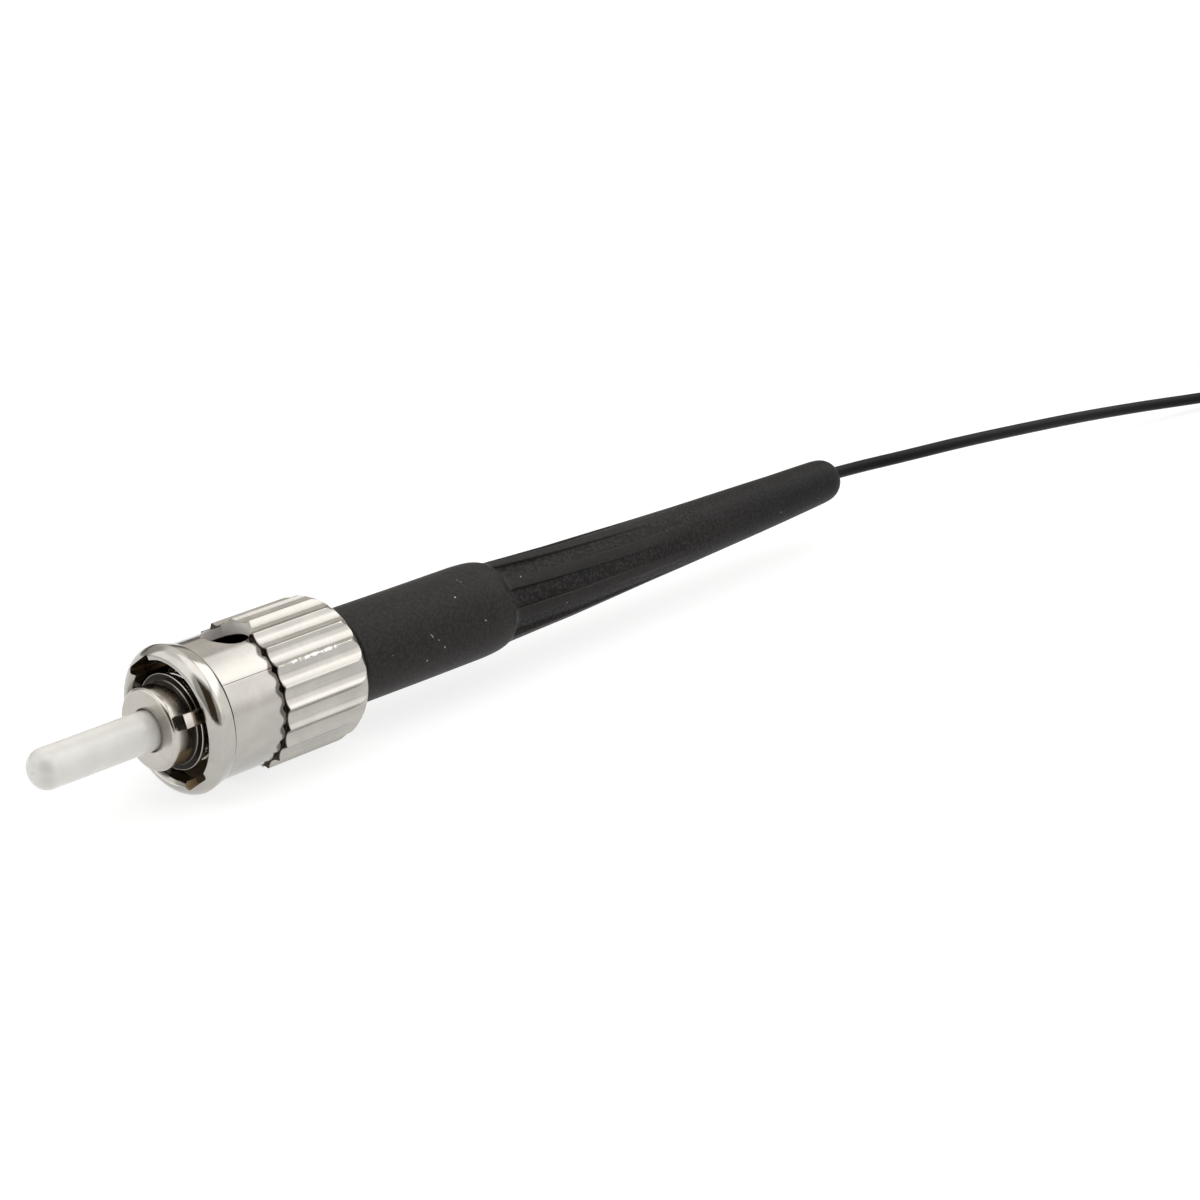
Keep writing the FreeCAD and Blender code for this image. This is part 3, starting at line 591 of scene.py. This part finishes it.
# ------------------------------------------------------------------ barrel and key
def barrel_mesh():
    prof = [(10.6, 1.25), (10.6, 1.33), (10.07, 1.33), (10.02, 1.35), (10.0, 1.39)]
    prof += line((10.0, 1.39), (10.0, 2.32), 5)
    prof += arc((10.0, 2.32), (10.22, 2.54), 0.22, 7)
    prof += line((10.22, 2.54), (11.58, 2.54), 6)
    prof += arc((11.58, 2.54), (11.70, 2.66), 0.12, 4, -1)
    prof += [(11.70, 2.80), (11.70, 2.92)]
    prof += arc((11.70, 2.92), (11.76, 2.98), 0.06, 3)
    prof += [(11.94, 2.98)]
    prof += arc((11.94, 2.98), (12.0, 2.92), 0.06, 3)
    prof += [(12.0, 2.6), (12.0, 2.30), (12.05, 2.25)]
    prof += line((12.05, 2.25), (23.86, 2.25), 12)
    prof += [(23.9, 2.21), (23.9, 2.0), (24.25, 2.0), (24.25, 2.21), (24.29, 2.25), (25.6, 2.25), (26.9, 2.25), (27.0, 2.15)]
    prof += [(27.0, 1.5), (27.0, 0.98), (20.0, 0.96), (14.0, 0.96), (14.0, 1.25), (12.0, 1.25)]
    mesh = lathe("barrel", prof, 128)
    key = block(10.25, 11.65, 2.2, 3.45, 0.9, 156.0, 0.1)
    return combine(mesh, [key], "UNION")


def ferrule_mesh():
    prof = [(1.93, 0.0635), (1.905, 0.085), (1.9, 0.2)]
    prof += [(1.9 + 0.012 * t * t, 0.2 + 0.14 * t) for t in (0.5, 1.0)]
    prof += arc((1.912, 0.34), (2.8, 1.25), 0.9, 14)
    prof += line((2.8, 1.25), (9.88, 1.25), 14)
    prof += [(9.9, 1.24)]
    prof += line((9.9, 1.24), (13.94, 1.24), 4)
    prof += [(14.0, 1.18), (14.0, 0.52), (13.5, 0.29), (13.0, 0.0635), (7.0, 0.0635)]
    return lathe("ferrule", prof, 96)


def spring_mesh():
    """A wound compression spring with even turns."""
    wire, mean, pitch, start, rise = 0.2, 2.68, 1.12, 12.24, 9.5
    turns = rise / pitch
    per, around = 44, 12
    n = int(turns * per) + 1
    rings = []
    for k in range(n):
        t = k / (n - 1)
        a = 2 * math.pi * turns * t
        u = start + rise * t
        tang = Vector((pitch / (2 * math.pi), -mean * math.sin(a), mean * math.cos(a))).normalized()
        out = Vector((0.0, math.cos(a), math.sin(a)))
        side = tang.cross(out)
        mid = Vector((u, mean * math.cos(a), mean * math.sin(a)))
        rings.append([mid + wire * (math.cos(b) * out + math.sin(b) * side) for b in np.arange(around) * 2 * math.pi / around])

    def build(bm):
        vs = [[bm.verts.new(p) for p in ring] for ring in rings]
        for a, b in zip(vs, vs[1:]):
            for k in range(around):
                bm.faces.new((a[k], a[(k + 1) % around], b[(k + 1) % around], b[k]))
        bm.faces.new(vs[0][::-1])
        bm.faces.new(vs[-1])
    return solid("spring", build)


# ------------------------------------------------------------------ boot
DROOP_U = [24.3, 30.0, 36.8, 39.0, 44.0, 56.0, 66.0, 72.75]
DROOP_Z = [0.0, -0.07, -0.11, -0.17, -0.29, -0.34, -0.30, -0.20]
BOOT_U = [24.3, 35.5, 36.0, 36.45, 36.88, 37.17, 37.4, 37.6, 37.86, 38.3, 38.9, 40.7, 46.0, 51.5, 57.15, 63.07, 66.1, 69.0, 69.6, 70.0]
BOOT_R = [3.10, 3.10, 3.085, 3.055, 3.00, 2.94, 2.86, 2.79, 2.748, 2.73, 2.70, 2.62, 2.417, 2.20, 2.02, 1.844, 1.74, 1.648, 1.63, 1.61]


def boot_mesh():
    side = [22.5, 19.5, 17.6, 16.4, 15.6, 15.0, 14.4, 13.8, 13.2, 12.6, 12.0, 11.2, 10.0, 7.5, 4.0, 0.0]
    one = np.array([-s for s in side[:-1]] + side[::-1][:-1])
    base = np.concatenate([k * 45.0 + one for k in range(8)])
    off = np.tile(one, 8)
    us = np.concatenate([
        np.linspace(24.56, 34.7, 26), np.linspace(34.9, 36.7, 10), np.linspace(36.82, 38.6, 26),
        np.linspace(38.8, 42.0, 15), np.linspace(42.4, 58.0, 44), np.linspace(58.6, 70.0, 22),
    ])
    radius = np.interp(us, BOOT_U, BOOT_R)
    # round off the corners of the outline
    for _ in range(3):
        radius[1:-1] = 0.25 * radius[:-2] + 0.5 * radius[1:-1] + 0.25 * radius[2:]
    depth = np.interp(us, [37.45, 37.75, 38.1, 42.0, 47.0, 52.0, 57.0], [0.0, 0.20, 0.25, 0.20, 0.12, 0.05, 0.0])
    wide = np.interp(us, [38.0, 44.0, 50.0, 57.0], [13.4, 13.2, 12.4, 11.4])
    turn = np.interp(us, [38.0, 50.0, 58.0, 72.0], [157.0, 165.5, 168.0, 168.0])
    soft = np.interp(us, [38.0, 46.0, 57.0], [1.2, 1.8, 4.5])
    rows, marks = [], []
    n = len(base)
    for j in range(n):
        outline, mark = [], []
        # front edge of the sleeve
        for p in [(24.9, 2.61), (24.42, 2.61), (24.32, 2.66), (24.3, 2.74), (24.3, 2.86)] + arc((24.3, 2.86), (24.54, 3.10), 0.24, 6):
            outline.append((p[0], p[1], base[j] + 157.0))
            mark.append(0.0)
        for k, u in enumerate(us):
            e = np.clip((wide[k] - abs(off[j])) / soft[k] * 0.5 + 0.5, 0.0, 1.0)
            sunk = e * e * (3 - 2 * e)
            crown = 0.035 * (1.0 - sunk) * min(1.0, depth[k] / 0.1)
            outline.append((u, radius[k] - depth[k] * sunk + crown - 0.035 * min(1.0, depth[k] / 0.1), base[j] + turn[k]))
            body = np.clip((u - 36.9) / 0.6, 0.0, 1.0)
            tail = np.clip((u - 50.0) / 8.0, 0.0, 1.0)
            mark.append(float(body * max((1.0 - sunk) * (1.0 - 0.7 * tail), 0.45 * tail)))
        for p in [(70.3, 1.60), (70.6, 1.587), (70.9, 1.567), (71.15, 1.54), (71.38, 1.495), (71.58, 1.43), (71.75, 1.345), (71.9, 1.24), (72.03, 1.11), (72.12, 0.97), (72.19, 0.81), (72.235, 0.67), (72.25, 0.55), (72.22, 0.488), (72.1, 0.47)]:
            outline.append((p[0], p[1], base[j] + 168.0))
            mark.append(0.45)
        for p in [(60.0, 0.47), (40.0, 0.47), (36.62, 0.47), (36.6, 0.5), (36.6, 1.4), (36.6, 2.58), (36.55, 2.61), (33.0, 2.61), (29.0, 2.61)]:
            outline.append((p[0], p[1], base[j] + 157.0))
            mark.append(0.0)
        rows.append(outline)
        marks.append(mark)
    rows = np.array(rows)
    a = np.radians(rows[..., 2])
    grid = np.stack([rows[..., 0], rows[..., 1] * np.cos(a), rows[..., 1] * np.sin(a)], axis=-1)
    # the soft tail droops a little below the barrel's axis; its bore does not
    droop = np.interp(rows[..., 0], DROOP_U, DROOP_Z)
    grid[..., 2] += droop * np.clip((rows[..., 1] - 0.5) / 0.35, 0.0, 1.0) * (rows[..., 0] > 24.95)
    n, m = grid.shape[:2]
    idx = np.arange(n * m).reshape(n, m)
    q, b = idx, np.roll(idx, -1, axis=0)
    c, d = np.roll(b, -1, axis=1), np.roll(q, -1, axis=1)
    mesh = bpy.data.meshes.new("boot")
    mesh.from_pydata(grid.reshape(-1, 3).tolist(), [], np.stack([q, b, c, d], axis=-1).reshape(-1, 4).tolist())
    store = mesh.attributes.new("smooth", "FLOAT", "POINT")
    store.data.foreach_set("value", np.array(marks, np.float32).reshape(-1))
    bm = bmesh.new()
    bm.from_mesh(mesh)
    bmesh.ops.recalc_face_normals(bm, faces=bm.faces)
    bm.to_mesh(mesh)
    bm.free()
    return mesh


# ------------------------------------------------------------------ cord
NEAR_ROUTE = [
    (35.025, 0.0, 4.66),
    (38.0, 0.0, 4.46),
    (42.5, -0.72, 4.34),
    (49.0, -1.25, 4.02),
    (56.5, -1.39, 3.28),
    (64.5, -1.46, 2.4),
    (72.3, -1.98, 1.55),
    (79.3, -3.25, 0.95),
    (86.2, -5.0, 0.62),
    (92.918, -7.212, 0.56),
]
FAR_ROUTE = [
    (98.05, -6.84, 6.86),
    (100.25, -5.56, 6.62),
    (102.55, -4.28, 5.8),
    (104.88, -3.48, 4.83),
    (107.4, -3.45, 4.66),
    (112.6, -3.45, 4.66),
    (118.6, -3.45, 4.66),
]
COIL = (95.1, -1.73)
CORD_D = 0.9
TURN_RADII = (5.9, 5.0, 4.1)
LAYERS = 8
POINTS_A_TURN = 12
STEP = 360.0 / POINTS_A_TURN
FIRST = -111.7  # where the near lead meets the coil
LAST = -60.0  # where the far lead leaves it


def coil_points():
    """Control points of the wound turns: each layer is three turns side by
    side, in one layer and out the next, and each change is spread over the
    last three points of a turn."""
    turns = []
    for layer in range(LAYERS):
        radii = TURN_RADII if layer % 2 == 0 else TURN_RADII[::-1]
        turns += [(r, 0.56 + 0.9 * layer) for r in radii]
    turns.append(turns[-1])
    pts = []
    for k, (r, z) in enumerate(turns[:-1]):
        r2, z2 = turns[k + 1]
        for j in range(POINTS_A_TURN):
            if k == 0 and j == 0:
                continue
            t = min(max((j - (POINTS_A_TURN - 3)) / 3.0, 0.0), 1.0)
            a = math.radians(FIRST + STEP * j)
            rr = (r + (r2 - r) * t) / 0.966
            pts.append((COIL[0] + rr * math.cos(a), COIL[1] + rr * math.sin(a), z + (z2 - z) * t))
    r, z = turns[-1]
    for a in (FIRST, FIRST + 0.6 * STEP):
        a = math.radians(a)
        pts.append((COIL[0] + r / 0.966 * math.cos(a), COIL[1] + r / 0.966 * math.sin(a), z))
    return pts


def nurbs(name, points, radius):
    data = bpy.data.curves.new(name, "CURVE")
    data.dimensions = "3D"
    data.resolution_u = 10
    data.bevel_depth = radius
    data.bevel_resolution = 4
    data.use_fill_caps = True
    spline = data.splines.new("NURBS")
    spline.points.add(len(points) - 1)
    for p, co in zip(spline.points, points):
        p.co = (co[0] * MM, co[1] * MM, co[2] * MM, 1.0)
    spline.order_u = 3
    spline.use_endpoint_u = True
    obj = bpy.data.objects.new(name, data)
    scene.collection.objects.link(obj)
    return obj


def tie_mesh():
    """A strap round the coil's bundle."""
    half, gap, thick = 13.0, 0.012, 0.085
    r0, r1, z0, z1 = 3.64 - gap, 6.36 + gap, 0.1 - gap, 7.4 + gap
    centre = 45.0
    angles = np.linspace(centre - half, centre + half, 13)

    def loop(pad, round_r):
        pts = []
        corners = [(r0 - pad, z0 - pad, 180.0), (r1 + pad, z0 - pad, 270.0), (r1 + pad, z1 + pad, 0.0), (r0 - pad, z1 + pad, 90.0)]
        for cx, cz, a0 in corners:
            sx = cx + round_r * (1 if a0 in (180.0, 90.0) else -1)
            sz = cz + round_r * (1 if a0 in (180.0, 270.0) else -1)
            for t in np.linspace(0.0, 90.0, 7):
                a = math.radians(a0 + t)
                pts.append((sx + round_r * math.cos(a), sz + round_r * math.sin(a)))
        return pts

    inner, outer = loop(0.0, 0.25), loop(thick, 0.33)

    def at(rz, ang):
        a = math.radians(ang)
        return (COIL[0] + rz[0] * math.cos(a), COIL[1] + rz[0] * math.sin(a), rz[1])

    def build(bm):
        n, m = len(inner), len(angles)
        vi = [[bm.verts.new(at(p, ang)) for ang in angles] for p in inner]
        vo = [[bm.verts.new(at(p, ang)) for ang in angles] for p in outer]
        for k in range(n):
            k2 = (k + 1) % n
            for j in range(m - 1):
                bm.faces.new((vo[k][j], vo[k][j + 1], vo[k2][j + 1], vo[k2][j]))
                bm.faces.new((vi[k][j + 1], vi[k][j], vi[k2][j], vi[k2][j + 1]))
            bm.faces.new((vi[k][0], vo[k][0], vo[k2][0], vi[k2][0]))
            bm.faces.new((vo[k][-1], vi[k][-1], vi[k2][-1], vo[k2][-1]))
    return solid("tie", build)


# ------------------------------------------------------------------ materials
# painted shade: dark brown deep in the bore, in the corner at the grip's front face and in the groove behind the rim;
# the bore's mouth is tinted tan
NUT = nickel("nickel_nut", "local", tone=(182, 179, 173), dull=0.19, stains_and_painted_shade=(
    (12.45, 30.0, 0.18, 0.0, 3.70, 0.04, 1.1, (44, 34, 24)),
    (11.78, 12.5, 0.05, 0.0, 3.70, 0.04, 0.5, (150, 128, 100)),
    (16.86, 16.93, 0.02, 4.24, 4.62, 0.03, 1.1, (52, 43, 33)),
    (12.97, 13.11, 0.012, 4.10, 4.31, 0.02, 1.1, (62, 54, 46)),
), gloss=((11.0, 12.95, -0.12), (12.95, 16.9, -0.06)), grip_shade_and_glints=True)
# painted shade: dark brown where the holes open into the bore
DRILLED = nickel("nickel_drilled", "local", tone=(214, 210, 205), dull=0.46, lines=0.3, metal=0.25, stains_and_painted_shade=(
    (0.0, 40.0, 0.1, 0.0, 3.68, 0.04, 1.2, (48, 38, 28)),
))
# painted shade: dark brown deeper in the slot and its ramp
SLOTTED = nickel("nickel_slot", "local", tone=(150, 126, 92), dull=0.30, lines=0.3, stains_and_painted_shade=(
    (12.3, 40.0, 0.4, 0.0, 5.0, 0.1, 0.75, (52, 40, 27)),
))
# painted light: a lighter copy of the slot finish, used for the second slot and its ramp; painted shade deeper in it
SLOT_PAINTED_LIGHTER = nickel("nickel_slot_painted_lighter", "local", tone=(226, 204, 168), dull=0.45, lines=0.3, metal=0.15, stains_and_painted_shade=(
    (13.2, 40.0, 0.6, 0.0, 5.0, 0.1, 0.75, (60, 47, 33)),
))
# painted shade, dark brown: on the flange's front face, the key's front face, the barrel just ahead of the flange and
# the shank behind it; the key's rear part is browned
BARREL = nickel("nickel_barrel", "local", tone=(192, 187, 180), dull=0.20, lines=0.8, stains_and_painted_shade=(
    (11.63, 11.80, 0.03, 2.57, 2.93, 0.03, 1.3, (22, 17, 13)),
    (11.25, 11.75, 0.22, 2.40, 2.60, 0.03, 0.55, (84, 68, 48)),
    (12.02, 30.0, 0.05, 0.0, 2.40, 0.05, 0.8, (60, 47, 34)),
    (10.0, 10.37, 0.03, 2.66, 3.60, 0.04, 1.2, (26, 20, 15)),
    (10.92, 11.58, 0.05, 2.62, 3.60, 0.04, 0.75, (92, 72, 48)),
), gloss=((10.12, 12.0, -0.04),))
PLAIN_NICKEL = nickel("nickel_small", None, tone=(196, 192, 186), dull=0.28, lines=0.6)
SPRING = nickel("spring_wire", "local", tone=(200, 198, 196), dull=0.18, lines=0.2)
CERAMIC = ceramic("zirconia", "local")
SPECKS = [
    (41.49, 122.9, 2.59, 0.20, 0.95), (41.30, 124.6, 2.60, 0.11, 0.8), (32.81, 129.7, 3.10, 0.12, 0.9), (34.45, 168.0, 3.10, 0.11, 0.6),
    (30.82, 181.5, 3.10, 0.11, 0.7), (29.32, 190.9, 3.10, 0.12, 0.65), (38.87, 129.7, 2.72, 0.12, 0.6),
    (43.92, 172.8, 2.50, 0.11, 0.5), (42.27, 188.8, 2.56, 0.09, 0.5), (29.81, 161.5, 3.10, 0.08, 0.6), (29.88, 163.0, 3.10, 0.08, 0.6),
    (29.93, 164.5, 3.10, 0.08, 0.5), (30.36, 170.4, 3.10, 0.09, 0.5), (26.52, 168.8, 3.10, 0.07, 0.4), (55.21, 115.0, 2.08, 0.07, 0.4),
    (64.63, 184.5, 1.79, 0.11, 0.4), (34.05, 113.5, 3.10, 0.07, 0.5), (34.0, 110.5, 3.10, 0.07, 0.55), (33.95, 107.5, 3.10, 0.07, 0.5),
]
BOOT_NEAR = boot_rubber("boot_near", SPECKS)
BOOT_FAR = boot_rubber("boot_far", [(33.0, 60.0, 3.1, 0.1, 0.6), (42.0, 100.0, 2.55, 0.08, 0.5)])
JACKET = buffer_jacket("buffer_jacket")
NATURAL = moulded("natural_plastic", rgb(214, 208, 192), rgb(198, 190, 172))
GLASS = glass("glass_fibre")
STRAP = woven("strap_weave")

# ------------------------------------------------------------------ pieces
nut, barrel, ferrule, spring, boot = nut_mesh(), barrel_mesh(), ferrule_mesh(), spring_mesh(), boot_mesh()
for end in ("near", "far"):
    copy = (lambda m: m.copy()) if end == "near" else (lambda m: m)
    piece(end + "_nut_turned", copy(nut), end, end + "_nut", end + "_coupling_nut", None, 30.0)
    piece(end + "_barrel_turned", copy(barrel), end, "cord", end + "_barrel", BARREL, 30.0)
    piece(end + "_ferrule_ground", copy(ferrule), end, "cord", end + "_ferrule", CERAMIC, 40.0)
    coil = piece(end + "_spring_wound", copy(spring), end, "cord", end + "_spring", SPRING, 60.0)
    piece(end + "_boot_moulded", copy(boot), end, "cord", end + "_boot", BOOT_NEAR if end == "near" else BOOT_FAR, 50.0)
    sign = 1.0 if end == "near" else -1.0
    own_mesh(coil)
tie = piece("tie_strap", tie_mesh(), None, "cord", "coil_tie", STRAP, 40.0)

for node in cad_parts:
    obj = bpy.data.objects.get(node)
    if obj is None or obj.hide_render:
        continue
    if node.endswith(("thrust_washer", "retaining_clip", "crimp_post")):
        mat = PLAIN_NICKEL
    elif node.endswith("guide_tube"):
        mat = NATURAL
    elif node.endswith("glass_fibre"):
        mat = GLASS
    else:
        mat = JACKET
    obj.data.materials.clear()
    obj.data.materials.append(mat)

cord = nurbs("cord", NEAR_ROUTE + coil_points() + FAR_ROUTE, CORD_D / 2 * MM)
cord.data.materials.append(JACKET)
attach(cord, "cord")
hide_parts("cord_near_lead", "cord_coil", "cord_far_lead")

# ------------------------------------------------------------------ stage
floor_mesh = bpy.data.meshes.new("floor")
floor_mesh.from_pydata([(-4, -4, 0), (4, -4, 0), (4, 4, 0), (-4, 4, 0)], [], [(0, 1, 2, 3)])
floor = bpy.data.objects.new("floor", floor_mesh)
scene.collection.objects.link(floor)
fs = Shader("floor_paper")
fs.place(None)
tooth = fs.noise(fs.local, 0.4, 3.0, 0.5)
fs.set(Base_Color=fs.mix(tooth, (0.27, 0.27, 0.27, 1.0), (0.28, 0.28, 0.28, 1.0)), Roughness=0.9, Specular_IOR_Level=0.1, Emission_Color=(1.0, 1.0, 1.0, 1.0), Emission_Strength=0.77)
floor_mesh.materials.append(fs.mat)


# A white tent with soft boxes: directions in the row's own frame.
class Sky(Shader):
    def __init__(self, world):
        self.tree = world.node_tree
        self.dir = self.node("ShaderNodeTexCoord").outputs["Generated"]

    def panel(self, azimuth, elevation, half_w, half_h, soft=0.12):
        """Mask of a soft-edged rectangular light seen in that direction; the
        half sizes are tangents of its half angles."""
        az, el = math.radians(azimuth), math.radians(elevation)
        c = (math.cos(el) * math.cos(az), math.cos(el) * math.sin(az), math.sin(el))
        a = (-math.sin(az), math.cos(az), 0.0)
        b = (-math.sin(el) * math.cos(az), -math.sin(el) * math.sin(az), math.cos(el))
        dc = self.vmath("DOT_PRODUCT", self.dir, c)
        x = self.math("ABSOLUTE", self.math("DIVIDE", self.vmath("DOT_PRODUCT", self.dir, a), dc))
        y = self.math("ABSOLUTE", self.math("DIVIDE", self.vmath("DOT_PRODUCT", self.dir, b), dc))
        m = self.math("MULTIPLY", self.ramp(x, half_w - soft, half_w + soft, 1.0, 0.0), self.ramp(y, half_h - soft, half_h + soft, 1.0, 0.0))
        return self.math("MULTIPLY", m, self.ramp(dc, 0.02, 0.10))


world = bpy.data.worlds.new("studio")
scene.world = world
world.use_nodes = True
sky = Sky(world)
z = sky.node("ShaderNodeSeparateXYZ", None, Vector=sky.dir).outputs[2]
tent = sky.mix(sky.ramp(z, -0.05, 0.7), (0.62, 0.60, 0.57, 1.0), (1.0, 0.99, 0.98, 1.0))
for az, el, w, h, colour, soft in (
    (40.0, 30.0, 0.62, 0.34, (1.28, 1.21, 1.12, 1.0), 0.12),
    (50.0, 4.0, 1.0, 0.15, (0.30, 0.275, 0.25, 1.0), 0.07),
    (-55.0, 24.0, 0.52, 0.50, (2.5, 2.49, 2.48, 1.0), 0.12),
    (-55.0, 3.0, 0.85, 0.18, (1.66, 1.64, 1.61, 1.0), 0.17),
    (-9.0, 40.0, 0.42, 0.30, (3.8, 3.79, 3.77, 1.0), 0.06),
    (140.0, 33.0, 0.50, 0.56, (2.5, 2.49, 2.47, 1.0), 0.10),
    (88.0, 54.0, 0.62, 0.30, (1.90, 1.88, 1.85, 1.0), 0.15),
    (-21.0, 11.0, 0.25, 0.21, (2.10, 2.08, 2.04, 1.0), 0.07),
    (-138.0, 24.0, 0.46, 0.54, (0.095, 0.066, 0.040, 1.0), 0.05),
    (-136.3, 86.0, 0.55, 0.44, (3.0, 2.99, 2.97, 1.0), 0.12),
):
    tent = sky.mix(sky.panel(az, el, w, h, soft), tent, colour)
world.node_tree.links.new(tent, world.node_tree.nodes["Background"].inputs["Color"])
world.node_tree.nodes["Background"].inputs["Strength"].default_value = 0.64
scene.view_settings.view_transform = "Standard"
